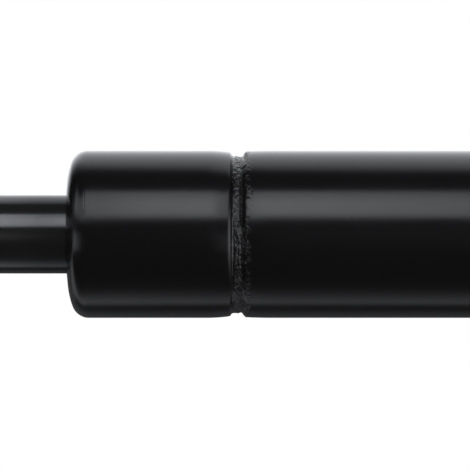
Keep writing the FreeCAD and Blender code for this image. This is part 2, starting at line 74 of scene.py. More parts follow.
class Pen:
    """Draws the outline of a turned piece in the XZ plane, in millimetres along and out from its axis."""

    def __init__(self, axis="X", zero=0.0, way=1.0, sheet=None):
        self.axis = axis
        self.zero = zero
        self.way = way
        self.sheet = sheet or bmesh.new()
        self.tip = None
        self.at = (0.0, 0.0)
        self.slope = 0.0

    def place(self, along, out):
        """The point of the XZ plane, in metres, at a distance along and out from the axis."""
        along = self.zero + self.way * along
        return Vector((along, 0, out) if self.axis == "X" else (out, 0, along)) * mm

    def start(self, along, out):
        """Sets the pen down."""
        self.at = (along, out)
        self.tip = self.sheet.verts.new(self.place(along, out))
        return self

    def run(self, along, out, parts=1):
        """A straight run to a point, in equal parts."""
        first, last = self.tip.co.copy(), self.place(along, out)
        for part in range(parts):
            self.tip = bmesh.ops.extrude_vert_indiv(self.sheet, verts=[self.tip])["verts"][0]
            self.tip.co = first.lerp(last, (part + 1) / parts)
        self.slope = math.atan2(out - self.at[1], along - self.at[0])
        self.at = (along, out)
        return self

    def arc(self, along, out, centre, parts):
        """An arc to a point, about a centre."""
        last, middle = self.place(along, out), self.place(*centre)
        before, after = self.tip.co - middle, last - middle
        angle = math.atan2(after.x, after.z) - math.atan2(before.x, before.z)
        angle = (angle + math.pi) % (2 * math.pi) - math.pi
        turned = bmesh.ops.spin(
            self.sheet, geom=[self.tip], cent=middle, axis=(0, 1, 0), angle=angle, steps=parts)
        self.tip = [item for item in turned["geom_last"] if isinstance(item, bmesh.types.BMVert)][0]
        self.tip.co = last
        self.slope = math.atan2(centre[0] - along, out - centre[1])
        self.at = (along, out)
        return self

    def bend(self, slope, radius, parts):
        """A rounding that leads on from the last slope to a new one, in degrees."""
        slope = math.radians(slope)
        side = math.copysign(radius, slope - self.slope)
        centre = self.at[0] - side * math.sin(self.slope), self.at[1] + side * math.cos(self.slope)
        end = centre[0] + side * math.sin(slope), centre[1] - side * math.cos(slope)
        self.arc(*end, centre, parts)
        self.slope = slope
        return self

    def climb(self, out, parts=1):
        """Goes straight on along the last slope to a height."""
        return self.run(self.at[0] + (out - self.at[1]) / math.tan(self.slope), out, parts)


def lathe(sheet, steps, axis=(1, 0, 0)):
    """Turns an outline once about its axis and closes it."""
    outline = sheet.verts[:] + sheet.edges[:]
    bmesh.ops.spin(
        sheet, geom=outline, cent=(0, 0, 0), axis=axis, angle=2 * math.pi, steps=steps, use_merge=True)
    bmesh.ops.remove_doubles(sheet, verts=sheet.verts, dist=touching)
    bmesh.ops.recalc_face_normals(sheet, faces=sheet.faces)
    return sheet


def piece(name, sheet, body, finish, node):
    """Makes a piece from its mesh, smooth between sharp edges, and puts it on its body for a CAD node."""
    for face in sheet.faces:
        face.smooth = True
    for edge in sheet.edges:
        edge.smooth = edge.calc_face_angle(0.0) < sharp_edge
    mesh = bpy.data.meshes.new(name)
    sheet.to_mesh(mesh)
    sheet.free()
    made = bpy.data.objects.new(name, mesh)
    bpy.context.scene.collection.objects.link(made)
    made.data.materials.append(finish.material)
    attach(made, body)
    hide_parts(node)
    return made


def around(centre, radius, angle):
    """A point on an arc, at an angle from the direction of the lip towards the tube's side."""
    return centre[0] - radius * math.cos(angle), centre[1] + radius * math.sin(angle)


def shoulder(pen, along, out, drop, rising, parts):
    """The drawn-in skin beside a groove: an easy arc down to its edge, or up from it."""
    run = abs(along - pen.at[0])
    reach = (run ** 2 + drop ** 2) / (2 * drop)
    middle = (along, out - reach) if rising else (pen.at[0], pen.at[1] - reach)
    pen.arc(along, out, middle, parts)


def rolled_groove(pen, groove, skin, dense):
    """The groove's outside: a rounded edge, steep side and wide foot by the lip, and a trough at its far side."""
    bottom = skin - groove_depth
    edge_back, edge_drop, edge_slope, edge_r = 0.56, 0.155, -17.5, 1.8
    side_slope, side_r, foot_r = -60, 0.22, 0.39
    floor_run, trough_slope, trough_r, trough_depth = 0.95, -20, 0.25, 0.06
    wall_slope, wall_r, wall_top, brow_slope, brow_r = 48, 0.14, 0.11, 2.5, 0.10
    pen.run(groove - shoulder_run, skin)
    shoulder(pen, groove - edge_back, skin - edge_drop, edge_drop, False, 4 * dense)
    pen.bend(edge_slope, edge_r, 3 * dense).bend(side_slope, side_r, 3 * dense)
    pen.climb(bottom + foot_r * (1 - math.cos(math.radians(side_slope)))).bend(0, foot_r, 4 * dense)
    pen.run(groove + floor_run, bottom, 4 * dense)
    pen.bend(trough_slope, trough_r, dense).climb(bottom - trough_depth, 2 * dense)
    pen.bend(wall_slope, wall_r, 2 * dense).climb(skin - wall_top, 3 * dense).bend(brow_slope, brow_r, 2 * dense)
    shoulder(pen, groove + groove_end + shoulder_run, skin, skin - pen.at[1], True, 5 * dense)


def bead_row(pen, groove, skin):
    """The bead that the groove raises inside the tube."""
    bottom = skin - groove_depth
    lip_side_drop, far_side_drop = 0.24, 0.14
    bead_back, bead_front, bead_end, level_run = 0.2, 0.3, 1.17, 1.0
    shoulder(pen, groove - bead_back, skin - lip_side_drop, lip_side_drop, False, 3)
    pen.run(groove, skin - lip_side_drop).run(groove + bead_front, bottom, 2).run(groove + bead_end, bottom, 4)
    pen.run(groove + groove_end, skin - far_side_drop, 3)
    pen.run(groove + groove_end + level_run, skin - far_side_drop, 2)
    shoulder(pen, groove + groove_end + shoulder_run, skin, far_side_drop, True, 3)


def curled_end(sheet, zero, way, hole, groove, middle, dense):
    """One end of the tube: lip, cone, dome, corner and groove outside, and the same turned back inside."""
    lip = (lip_edge_r, hole + lip_edge_r)
    cone_end = (
        lip_edge_r * (1 - math.cos(cone_slope)) + cone_width * math.tan(cone_slope),
        hole + lip_edge_r * (1 + math.sin(cone_slope)) + cone_width,
    )
    dome = (cone_end[0] + dome_r * math.cos(cone_slope), cone_end[1] - dome_r * math.sin(cone_slope))
    turn = math.asin((tube_r - corner_r - dome[1]) / (dome_r - corner_r))
    corner = (dome[0] - (dome_r - corner_r) * math.cos(turn), tube_r - corner_r)
    outside = Pen("X", zero, way, sheet).start(lip_edge_r, hole)
    outside.arc(*around(lip, lip_edge_r, cone_slope), lip, 6).run(*cone_end, 3)
    outside.arc(*around(dome, dome_r, turn), dome, 8)
    outside.arc(corner[0], tube_r, corner, 14)
    rolled_groove(outside, groove, tube_r, dense)
    outside.run(middle, tube_r)
    inside = Pen("X", zero, way, sheet).start(lip_edge_r, hole)
    inside.run(tube_wall, hole).run(*around(lip, lip_edge_r - tube_wall, cone_slope))
    inside.run(*around(dome, dome_r - tube_wall, cone_slope))
    inside.arc(*around(dome, dome_r - tube_wall, turn), dome, 3)
    inside.arc(corner[0], tube_r - tube_wall, corner, 5).run(groove - shoulder_run, tube_r - tube_wall)
    bead_row(inside, groove, tube_r - tube_wall)
    inside.run(middle, tube_r - tube_wall)


tube_middle = (rear_lip_x - front_lip_x) / 2
shell = bmesh.new()
curled_end(shell, front_lip_x, 1.0, front_hole_r, front_lip_to_groove, tube_middle, 2)
curled_end(shell, rear_lip_x, -1.0, rear_hole_r, rear_lip_to_groove, tube_middle, 1)
bmesh.ops.remove_doubles(shell, verts=shell.verts, dist=touching)
lathe(shell, tube_steps)


def swell(value, low, high):
    """Rises smoothly from 0 at low to 1 at high."""
    part = min(max((value - low) / (high - low), 0.0), 1.0)
    return part * part * (3 - 2 * part)


def band(value, rise, fall):
    """Goes smoothly from 0 to 1 over the rise and back to 0 over the fall."""
    return swell(value, *rise) * (1 - swell(value, *fall))


# The curl isn't quite square to the tube: its skin stands a little further out above than below.
curl_uneven = 0.07
curl_full, curl_end = 1.5, 5.0
facing_out, square_on = 0.02, 0.12
shell.normal_update()
for vert in shell.verts:
    behind_lip = vert.co.x / mm - front_lip_x
    if vert.normal.x < -facing_out and behind_lip < curl_end:
        short = curl_uneven * (1 - vert.co.z / mm / tube_r) * (1 - swell(behind_lip, curl_full, curl_end))
        vert.co.x += short * swell(-vert.normal.x, facing_out, square_on) * mm

marks_start, marks_end, marks_deep = -0.6, 3.6, 0.3
wave_size, chip_size, lump_size, pit_size, grit_size = 0.8, 2.2, 3.2, 2.3, 6.5
rolled_long = 0.55
floor_lumps, floor_pits, floor_grit, pit_level, floor_sag = 0.075, 0.06, 0.035, 0.45, 0.06
flake_lumps, flake_chips, flake_least, flake_grit = 0.10, 0.07, 0.015, 0.035
wall_waves, wall_chips, wall_grit = 0.13, 0.12, 0.05
foot_chips, foot_lumps = 0.09, 0.08
box_room = 0.004


def roll_marks(sheet, start, way, seed):
    """Works the rolled groove over: a lumpy floor, a wavy foot, a torn, flaked edge on the far side, and painted shade
    on the far wall.
    """
    worn = sheet.verts.layers.float["worn"]
    painted_wall_shade = sheet.verts.layers.float["painted_wall_shade"]
    drift = Vector((seed, 2 * seed, 0))
    inner_skin = (tube_r - groove_depth - marks_deep) * mm
    for vert in sheet.verts:
        along = (vert.co.x / mm - start) * way
        out = math.hypot(vert.co.y, vert.co.z)
        if not marks_start < along < marks_end or out < inner_skin:
            continue
        around_y, around_z = vert.co.y / out, vert.co.z / out
        spot = Vector((along, around_y * tube_r, around_z * tube_r))
        smeared = Vector((spot.x, spot.y * rolled_long, spot.z * rolled_long))
        wave = noise.noise(Vector((seed, spot.y * wave_size, spot.z * wave_size)))
        chip = noise.noise(Vector((seed + 5, spot.y * chip_size, spot.z * chip_size)))
        lump = noise.noise(smeared * lump_size + drift)
        pit = noise.voronoi(spot * pit_size + drift)[0][0]
        grit = noise.noise(spot * grit_size + drift)
        foot = band(along, (-0.02, 0.12), (0.3, 0.5))
        floor = band(along, (0.2, 0.42), (1.25, 1.5))
        wall = band(along, (1.35, 1.65), (2.0, 2.9))
        edge = band(along, (1.70, 1.88), (2.05, 2.5))
        lift = floor * (floor_lumps * lump + floor_pits * (pit_level - pit) + floor_grit * grit)
        lift -= floor_sag * around_z * band(along, (-0.1, 0.2), (1.3, 1.8))
        lift -= edge * max(0.0, flake_lumps * lump + flake_chips * chip - flake_least)
        lift -= edge * flake_grit * max(0.0, grit)
        push = wall * (wall_waves * wave + wall_chips * chip + wall_grit * grit)
        push += foot * (foot_chips * chip + foot_lumps * lump)
        new_out = min(out + lift * mm, (tube_r - box_room) * mm)
        vert.co = Vector((vert.co.x + push * mm * way, around_y * new_out, around_z * new_out))
        wear = floor * (0.75 + 0.7 * lump) + edge * max(0.0, 1.8 * lump + 1.6 * chip + 0.15)
        vert[worn] = min(1.0, max(0.0, wear))
        # The far wall's gloss is taken off as painted shade, most of all in a band above the middle.
        upper_band = band(around_z, (0.085, 0.135), (0.70, 0.80))
        wall_foot = 1.20 - 0.25 * upper_band
        vert[painted_wall_shade] = band(along, (wall_foot - 0.05, wall_foot + 0.05), (1.62, 1.76)) * (0.5 + 0.5 * upper_band)


front_groove_x = front_lip_x + front_lip_to_groove
rear_groove_x = rear_lip_x - rear_lip_to_groove
shell.verts.layers.float.new("worn")
shell.verts.layers.float.new("painted_wall_shade")
roll_marks(shell, front_groove_x, 1.0, 3.7)
roll_marks(shell, rear_groove_x, -1.0, 11.2)


def join(tree, socket, value):
    """Links a node's output to a socket, or sets the socket to a plain value."""
    if isinstance(value, bpy.types.NodeSocket):
        tree.links.new(value, socket)
    else:
        socket.default_value = value


def add_node(tree, kind, inputs, result=0, **settings):
    """A node with its settings made and its inputs joined. Returns one of its outputs."""
    made = tree.nodes.new("ShaderNode" + kind)
    for name, value in settings.items():
        setattr(made, name, value)
    for name, value in inputs.items():
        join(tree, made.inputs[name], value)
    return made.outputs[result]


class Finish:
    """One surface finish: a Principled shader whose colour, roughness and bump grow node by node."""

    def __init__(self, name, colour, roughness, metallic=0.0):
        self.material = bpy.data.materials.new(name)
        self.material.use_nodes = True
        self.tree = self.material.node_tree
        self.shader = self.tree.nodes["Principled BSDF"]
        self.place = self.node("TexCoord", {}, "Object")
        self.set("Base Color", (*colour, 1.0))
        self.set("Roughness", roughness)
        self.set("Metallic", metallic)

    def set(self, name, value):
        """Sets or joins one of the shader's inputs."""
        join(self.tree, self.shader.inputs[name], value)

    def node(self, kind, inputs, result=0, **settings):
        """A node of this finish. Returns one of its outputs."""
        return add_node(self.tree, kind, inputs, result, **settings)

    def along(self, axis=0):
        """The place along one axis, in metres."""
        return self.node("SeparateXYZ", {"Vector": self.place}, axis)

    def noise(self, scale, detail=2.0, stretch=(1, 1, 1), rough=0.5):
        """Noise over the piece, with its scale in waves a metre."""
        spot = self.node("Mapping", {"Vector": self.place, "Scale": stretch})
        return self.node("TexNoise", {"Vector": spot, "Scale": scale, "Detail": detail, "Roughness": rough})

    def rings(self, scale):
        """Fine rings round a turned piece, which vary only along X."""
        return self.node("TexNoise", {"W": self.along(), "Scale": scale, "Detail": 3.0}, noise_dimensions="1D")

    def between(self, value, low, high, first=0.0, last=1.0):
        """Maps a value's range to another, and stops at its ends."""
        ends = {"From Min": low, "From Max": high, "To Min": first, "To Max": last}
        return self.node("MapRange", {"Value": value, **ends})

    def work(self, operation, first, second=0.0):
        """One step of arithmetic on two values."""
        return self.node("Math", {0: first, 1: second}, operation=operation)

    def plus(self, first, second):
        """The sum of two values."""
        return self.work("ADD", first, second)

    def times(self, first, second):
        """The product of two values."""
        return self.work("MULTIPLY", first, second)

    def off(self, value, middle):
        """How far a value lies from a middle, to either side."""
        return self.work("ABSOLUTE", self.work("SUBTRACT", value, middle))

    def blend(self, amount, first, second):
        """Mixes two colours."""
        mix = self.tree.nodes.new("ShaderNodeMix")
        mix.data_type = "RGBA"
        join(self.tree, mix.inputs[0], amount)
        for socket, colour in ((mix.inputs[6], first), (mix.inputs[7], second)):
            join(self.tree, socket, colour if isinstance(colour, bpy.types.NodeSocket) else (*colour, 1.0))
        return mix.outputs[2]

    def bump(self, *layers):
        """Stacks bumps, each a height and its depth in millimetres."""
        normal = None
        for height, depth in layers:
            inputs = {"Height": height, "Distance": depth * mm, "Strength": 1.0}
            if normal:
                inputs["Normal"] = normal
            normal = self.node("Bump", inputs)
        self.set("Normal", normal)


paint = Finish("black_paint", (0.0056, 0.0056, 0.0062), 0.25)
worn = paint.node("Attribute", {}, "Fac", attribute_name="worn")
painted_wall_shade = paint.node("Attribute", {}, "Fac", attribute_name="painted_wall_shade")
scuffed = paint.times(worn, paint.between(paint.noise(5200, 3.0), 0.48, 0.60))
dust = paint.node("TexVoronoi", {"Vector": paint.place, "Scale": 620.0})
dust = paint.times(paint.between(dust, 0.075, 0.05), paint.between(paint.noise(210, 1.0), 0.63, 0.66))
tone = paint.blend(paint.noise(90, 3.0), (0.0050, 0.0050, 0.0055), (0.0062, 0.0062, 0.0069))
tone = paint.blend(scuffed, tone, (0.036, 0.036, 0.037))
paint.set("Base Color", paint.blend(dust, tone, (0.05, 0.05, 0.05)))
matte = paint.between(paint.noise(160, 4.0), 0.3, 0.7, 0.160, 0.190)
matte = paint.plus(matte, paint.times(scuffed, 0.18))
paint.set("Roughness", paint.plus(matte, paint.times(dust, 0.4)))
# Painted shade: the far groove wall loses its gloss and looks dark.
paint.set("Specular IOR Level", paint.between(painted_wall_shade, 0.0, 1.0, 0.5, 0.06))

# The rollers leave rings near both grooves and both lips, and a tool leaves one mark round the front curl.
wheel_far, wheel_near = 5.0 * mm, 1.2 * mm
tool_mark_x = front_lip_x + 2.50
tool_mark_width = 0.12 * mm
along_tube = paint.along()
rolled = 0.0
for wheel_x in (front_groove_x, rear_groove_x, front_lip_x + 0.8, rear_lip_x - 0.8):
    rolled_here = paint.between(paint.off(along_tube, wheel_x * mm), wheel_far, wheel_near)
    rolled = paint.work("MAXIMUM", rolled, rolled_here)
tool_mark = paint.between(paint.off(along_tube, tool_mark_x * mm), tool_mark_width, 0.0)
tool_mark = paint.times(tool_mark, paint.between(paint.noise(420, 1.0), 0.36, 0.50))
pits = paint.node("TexVoronoi", {"Vector": paint.place, "Scale": 2900.0}, feature="SMOOTH_F1")
paint.bump(
    (paint.noise(420), 0.0016),
    (paint.noise(1500), 0.0006),
    (paint.noise(14000, 0.0), 0.0038),
    (paint.times(paint.rings(2600), rolled), 0.0016),
    (paint.times(tool_mark, -1.0), 0.018),
    (paint.times(paint.noise(3800, 4.0, rough=0.65), worn), 0.058),
    (paint.times(pits, worn), 0.06),
)

piece("painted_tube", shell, "cylinder", paint, "pressure_tube")


# The rod: round bar ground to size, then black nitrided and polished. The grinding leaves very fine rings,
# and the stroke draws a few faint lines along it. Painted shade darkens it towards the tube; painted light lightens it
# beside the lip.
pale_x, black_x = -0.1800, -0.1748
nitrided = Finish("nitrided_steel", (0.085, 0.087, 0.093), 0.12, 0.9)
along_rod = nitrided.along()
# Painted shade: the colour darkens towards the tube, where the tube's end shades the rod; the noise adds real polish
# marks.
polish_and_shade = nitrided.between(along_rod, pale_x, black_x)
polish_and_shade = nitrided.plus(polish_and_shade, nitrided.between(nitrided.noise(140, 3.0, (0.35, 1, 1)), 0.3, 0.7, -0.14, 0.14))
polish_and_shade = nitrided.plus(polish_and_shade, nitrided.between(nitrided.noise(2400, 2.0, (0.6, 1, 1)), 0.3, 0.7, -0.10, 0.10))
nitrided.set("Base Color", nitrided.blend(polish_and_shade, (0.096, 0.097, 0.100), (0.056, 0.057, 0.059)))
nitrided.set("Specular Tint", (0.92, 0.92, 0.92, 1.0))

streak_z = -0.25 * mm
streak = nitrided.between(nitrided.off(nitrided.along(2), streak_z), 0.9 * mm, 0.1 * mm)
streak = nitrided.times(streak, nitrided.between(nitrided.noise(500, 2.0, (0.06, 1, 1)), 0.2, 0.5))
streak = nitrided.times(streak, nitrided.between(along_rod, -0.1705, pale_x, 0.3, 1.0))
metal = nitrided.between(streak, 0.0, 1.0, 0.90, 0.74)
# Painted light: less metal towards the tube and beside the lip lightens the rod's dark colour there.
metal = nitrided.plus(metal, nitrided.between(along_rod, -0.1797, -0.1750, 0.0, -0.075))
nitrided.set("Metallic", nitrided.plus(metal, nitrided.between(along_rod, -0.1742, -0.1720, 0.0, -0.04)))
nitrided.set("Roughness", nitrided.between(nitrided.noise(300, 3.0, (0.3, 1, 1)), 0.3, 0.7, 0.105, 0.135))
nitrided.set("Anisotropic", 0.85)
nitrided.set("Tangent", nitrided.node("Tangent", {}, direction_type="RADIAL", axis="X"))
nitrided.bump((nitrided.rings(9000), 0.00016), (nitrided.noise(900, 2.0, (0.08, 1, 1)), 0.0003))


def dress(finish, *nodes):
    """Gives CAD nodes their finish."""
    for name in nodes:
        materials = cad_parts[name].data.materials
        materials.clear()
        materials.append(finish.material)


dress(nitrided, "piston_rod")


# The guide, the piston's washers and the orifice disc: turned from bar, phosphated and oiled.
# They stack on the rod or fill the curl, and none of them shows from outside.
turned = Finish("turned_steel", (0.30, 0.30, 0.30), 0.38, 1.0)
cuts = turned.rings(5200)
turned.set("Base Color", turned.blend(turned.noise(260, 4.0), (0.20, 0.20, 0.205), (0.36, 0.355, 0.35)))
turned.set("Roughness", turned.between(cuts, 0.3, 0.7, 0.32, 0.46))
turned.bump((cuts, 0.004), (turned.noise(2600), 0.001))
dress(turned, "rod_guide", "piston_front_washer", "orifice_disc", "piston_back_washer")


# The guide's bush: a strip of sintered bronze, rolled into a liner and pressed into the guide.
# The rod runs in it, and its pores hold oil.
bronze = Finish("bronze", (0.46, 0.27, 0.12), 0.36, 1.0)
pores = bronze.noise(4200)
bronze.set("Base Color", bronze.blend(bronze.noise(500, 4.0), (0.38, 0.21, 0.09), (0.55, 0.34, 0.16)))
bronze.set("Roughness", bronze.between(pores, 0.35, 0.65, 0.30, 0.50))
bronze.bump((pores, 0.006))
dress(bronze, "guide_bush")


# The rod's seal and the plug's O-ring: moulded nitrile rubber, wet with oil.
# The seal sits between the guide and its support ring, and the O-ring in the plug's groove.
rubber = Finish("seal_rubber", (0.012, 0.012, 0.012), 0.42)
rubber.set("Roughness", rubber.between(rubber.noise(700, 4.0), 0.3, 0.7, 0.34, 0.52))
rubber.set("Base Color", rubber.blend(rubber.noise(300, 3.0), (0.009, 0.009, 0.009), (0.017, 0.017, 0.016)))
rubber.bump((rubber.noise(3200, 3.0), 0.003))
dress(rubber, "rod_seal", "plug_o_ring")


# The seal's support ring and the piston ring: natural nylon, turned.
# The first rests on the rolled bead, and the second is split and slides in the tube.
nylon = Finish("white_plastic", (0.74, 0.71, 0.62), 0.40)
nylon.set("Base Color", nylon.blend(nylon.noise(200, 3.0), (0.70, 0.67, 0.58), (0.78, 0.75, 0.67)))
nylon.set("Subsurface Weight", 0.15)
nylon.set("Subsurface Radius", (0.0012, 0.0010, 0.0008))
nylon.bump((nylon.rings(3600), 0.003))
dress(nylon, "seal_support_ring", "piston_ring")


# The piston: a zinc die casting, grey and slightly grainy.
# It is riveted on the rod's end between its washers.
casting = Finish("die_cast", (0.42, 0.42, 0.43), 0.48, 1.0)
casting.set("Base Color", casting.blend(casting.noise(400, 5.0), (0.34, 0.34, 0.35), (0.50, 0.50, 0.51)))
casting.set("Roughness", casting.between(casting.noise(900, 3.0), 0.3, 0.7, 0.40, 0.56))
casting.bump((casting.noise(2400, 4.0), 0.006))
dress(casting, "piston")


# The end plug: turned steel, zinc plated, with an M8 stud that goes through the lock nut into the socket.
# The plating has a faint blue and yellow bloom and shows a slight grain.
zinc = Finish("zinc_plated", (0.64, 0.65, 0.66), 0.32, 0.88)
zinc.set("Base Color", zinc.blend(zinc.noise(240, 4.0), (0.61, 0.635, 0.67), (0.69, 0.68, 0.65)))
zinc.set("Roughness", zinc.between(zinc.noise(900, 4.0), 0.3, 0.7, 0.28, 0.35))
zinc.bump((zinc.noise(1900, 3.0), 0.0014), (zinc.noise(7000), 0.0006))
dress(zinc, "end_plug")


# The lock nuts: thin M8 hexagon nuts, zinc plated, which lock the sockets on their threads.
# A turned blank with a chamfer at each end is milled to six flats.
turned_steps = 96
nut_height = 4.0
nut_bore_r = 4.03
nut_bore_chamfer = 0.5
nut_broken_edge = 0.08
across_flats = 13.0
hex_rim = across_flats / 2 - 0.2
hex_corner = across_flats / math.sqrt(3)
hex_drop = (hex_corner - hex_rim) * math.tan(math.radians(30))


def cut_away(sheet, point, normal):
    """Cuts off all that lies beyond a plane. Returns the edges of the cut."""
    geometry = sheet.verts[:] + sheet.edges[:] + sheet.faces[:]
    cut = bmesh.ops.bisect_plane(sheet, geom=geometry, plane_co=point, plane_no=normal, clear_outer=True)
    return [item for item in cut["geom_cut"] if isinstance(item, bmesh.types.BMEdge)]


def mill_flats(sheet, axis):
    """Cuts a turned blank to a hexagon with two of its corners along Y, and closes each flat."""
    for flat in range(6):
        turn = math.radians(60 * flat)
        normal = Vector((0, math.sin(turn), math.cos(turn)) if axis == "X" else (math.cos(turn), math.sin(turn), 0))
        rim = cut_away(sheet, normal * across_flats / 2 * mm, normal)
        bmesh.ops.edgeloop_fill(sheet, edges=rim)
    bmesh.ops.recalc_face_normals(sheet, faces=sheet.faces)


for side, body in (("tube", "cylinder"), ("rod", "rod")):
    nut_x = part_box(side + "_lock_nut")[0].x / mm
    pen = Pen("X", nut_x).start(nut_bore_chamfer, nut_bore_r).run(nut_height - nut_bore_chamfer, nut_bore_r)
    pen.run(nut_height, nut_bore_r + nut_bore_chamfer).run(nut_height, hex_rim)
    pen.run(nut_height - hex_drop, hex_corner, 3).run(hex_drop, hex_corner).run(0.0, hex_rim, 3)
    pen.run(0.0, nut_bore_r + nut_bore_chamfer).run(nut_bore_chamfer, nut_bore_r)
    blank = lathe(pen.sheet, turned_steps)
    mill_flats(blank, "X")
    nut = piece(side + "_thin_nut", blank, body, zinc, side + "_lock_nut")
    bevel = nut.modifiers.new("broken edges", "BEVEL")
    bevel.width = nut_broken_edge * mm
    bevel.segments = 2
    bevel.limit_method = "ANGLE"
    bevel.angle_limit = math.radians(30)
    bevel.harden_normals = True


# The ball sockets: turned heads with a drilled and tapped shank, zinc plated.
# Each screws on a thread of the spring and snaps over the ball of its stud.
dress(zinc, "tube_ball_socket", "rod_ball_socket")


# The ball studs: a ground ball, a neck, a forged hexagon and a rolled M8 thread, zinc plated.
# The hexagon is the nuts' size, and the thread runs out to a neck below it.
ball_r = 6.5
ball_neck_r = 4.0
neck_fillet = 0.3
hex_top = -8.0
hex_seat = -13.0
hex_inside_r = 3.2
hex_broken_corner = 0.15
pitch = 1.25
thread_r = 4.0
thread_root = 3.233
thread_steps = 48
thread_touching = 0.002 * mm
stud_tip = -29.5
tip_r = 2.9
runout_r = 3.3
runout_start, runout_end = 0.7, 1.6


def stud_head():
    """A stud's ball, neck and hexagon, turned and milled, with the hexagon's corners broken."""
    pen = Pen("Z").start(ball_r, 0.0)
    neck = math.asin(ball_neck_r / ball_r)
    fillet = (hex_top + neck_fillet, ball_neck_r + neck_fillet)
    pen.arc(-ball_r * math.cos(neck), ball_neck_r, (0.0, 0.0), 40).run(fillet[0], ball_neck_r, 3)
    pen.arc(hex_top, fillet[1], fillet, 4).run(hex_top, hex_rim)
    pen.run(hex_top - hex_drop, hex_corner, 3).run(hex_seat, hex_corner, 2).run(hex_seat, hex_inside_r)
    head = lathe(pen.sheet, turned_steps, (0, 0, 1))
    mill_flats(head, "Z")
    corners = [edge for edge in head.edges if abs(edge.calc_face_angle(0.0) - math.radians(60)) < 0.05
               and max(vert.co.z for vert in edge.verts) < hex_top * mm + 1e-6]
    bmesh.ops.bevel(head, geom=corners, offset=hex_broken_corner * mm, segments=2, profile=0.5, affect="EDGES")
    return head


def rolled_thread():
    """The thread under the hexagon: one outline of many pitches, wound once round and cut to length."""
    crest_start, flank_end, crest, crest_end, flank_start = 0.16, 0.54, 0.62, 0.72, 0.80
    crest_edge = thread_r - 0.08
    pen = Pen("Z").start(hex_seat + pitch, thread_root)
    for turn in range(int((hex_seat - stud_tip) / pitch) + 3):
        top = hex_seat + pitch - turn * pitch
        pen.run(top - crest_start, thread_root).run(top - flank_end, crest_edge, 2).run(top - crest, thread_r)
        pen.run(top - crest_end, thread_r).run(top - flank_start, crest_edge).run(top - pitch, thread_root, 2)
    worm = pen.sheet
    step = (0, 0, -pitch * mm / thread_steps)
    bmesh.ops.spin(worm, geom=worm.verts[:] + worm.edges[:], cent=(0, 0, 0), axis=(0, 0, 1), dvec=step,
                   angle=2 * math.pi, steps=thread_steps)
    bmesh.ops.remove_doubles(worm, verts=worm.verts, dist=thread_touching)
    cut_away(worm, (0, 0, hex_seat * mm), (0, 0, 1))
    cut_away(worm, (0, 0, stud_tip * mm), (0, 0, -1))
    for vert in worm.verts:
        out = math.hypot(vert.co.x, vert.co.y)
        from_tip = max(vert.co.z / mm - stud_tip, 0.0)
        from_seat = hex_seat - vert.co.z / mm
        wanted = min(out, thread_r * mm, (tip_r + from_tip) * mm)
        wanted += (runout_r * mm - wanted) * (1 - swell(from_seat, runout_start, runout_end))
        vert.co.x *= wanted / out
        vert.co.y *= wanted / out
    bmesh.ops.holes_fill(worm, edges=[edge for edge in worm.edges if edge.is_boundary], sides=0)
    bmesh.ops.recalc_face_normals(worm, faces=worm.faces)
    return worm


for side, body in (("tube", "tube_stud"), ("rod", "rod_stud")):
    ball_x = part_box(side + "_ball_stud")[0].x / mm + ball_r
    blank = stud_head()
    worm = rolled_thread()
    spare = bpy.data.meshes.new("spare")
    worm.to_mesh(spare)
    worm.free()
    blank.from_mesh(spare)
    bpy.data.meshes.remove(spare)
    bmesh.ops.translate(blank, verts=blank.verts, vec=(ball_x * mm, 0, 0))
    piece(side + "_threaded_stud", blank, body, zinc, side + "_ball_stud")


# The safety clips: hard drawn spring wire, bent and zinc plated.
# Each goes through its socket's head and keeps the ball in.
wire = Finish("spring_steel", (0.56, 0.57, 0.58), 0.28, 0.92)
wire.set("Base Color", wire.blend(wire.noise(300, 3.0), (0.53, 0.545, 0.57), (0.61, 0.60, 0.57)))
wire.set("Roughness", wire.between(wire.noise(1800, 3.0), 0.3, 0.7, 0.24, 0.33))
wire.bump((wire.noise(3500), 0.0008))
dress(wire, "tube_safety_clip", "rod_safety_clip")


# The studio: a plain pale floor well below the spring, softboxes above and in front of it, and a room whose
# pale walls its gloss reflects. The camera looks level, straight at the tube's side, through a long lens.
camera_x = -0.15021
camera_y = -0.650
camera_z = -0.00009
lens = 390.7
floor_z = -0.12
floor_reach = 6.0
fade_start, fade_end = 0.45, 1.3

floor_sheet = bmesh.new()
bmesh.ops.create_grid(floor_sheet, x_segments=8, y_segments=8, size=floor_reach)
bmesh.ops.translate(floor_sheet, verts=floor_sheet.verts, vec=(camera_x, 0, floor_z))
floor_mesh = bpy.data.meshes.new("floor")
floor_sheet.to_mesh(floor_mesh)
floor_sheet.free()
floor = bpy.data.objects.new("floor", floor_mesh)
bpy.context.scene.collection.objects.link(floor)
ground = Finish("pale_floor", (0.88, 0.88, 0.88), 0.85)
spot = ground.node("Mapping", {"Vector": ground.place, "Location": (-camera_x, 0, -floor_z)})
far_off = ground.node("VectorMath", {0: spot}, 1, operation="LENGTH")
seen = ground.node("LightPath", {}, "Is Camera Ray")
fade = ground.times(ground.between(far_off, fade_start, fade_end), seen)
glow = ground.node("Emission", {"Color": (1, 1, 1, 1), "Strength": 1.0})
mixed = ground.node("MixShader", {0: fade, 1: ground.shader.outputs[0], 2: glow})
join(ground.tree, ground.tree.nodes["Material Output"].inputs["Surface"], mixed)
floor.data.materials.append(ground.material)
floor.visible_glossy = False

cool_white = (0.976, 1.0, 1.05)
white = (1, 1, 1)


def from_front(height):
    """The direction from the object to the front, at a height in degrees."""
    return Vector((0, -math.cos(math.radians(height)), math.sin(math.radians(height))))


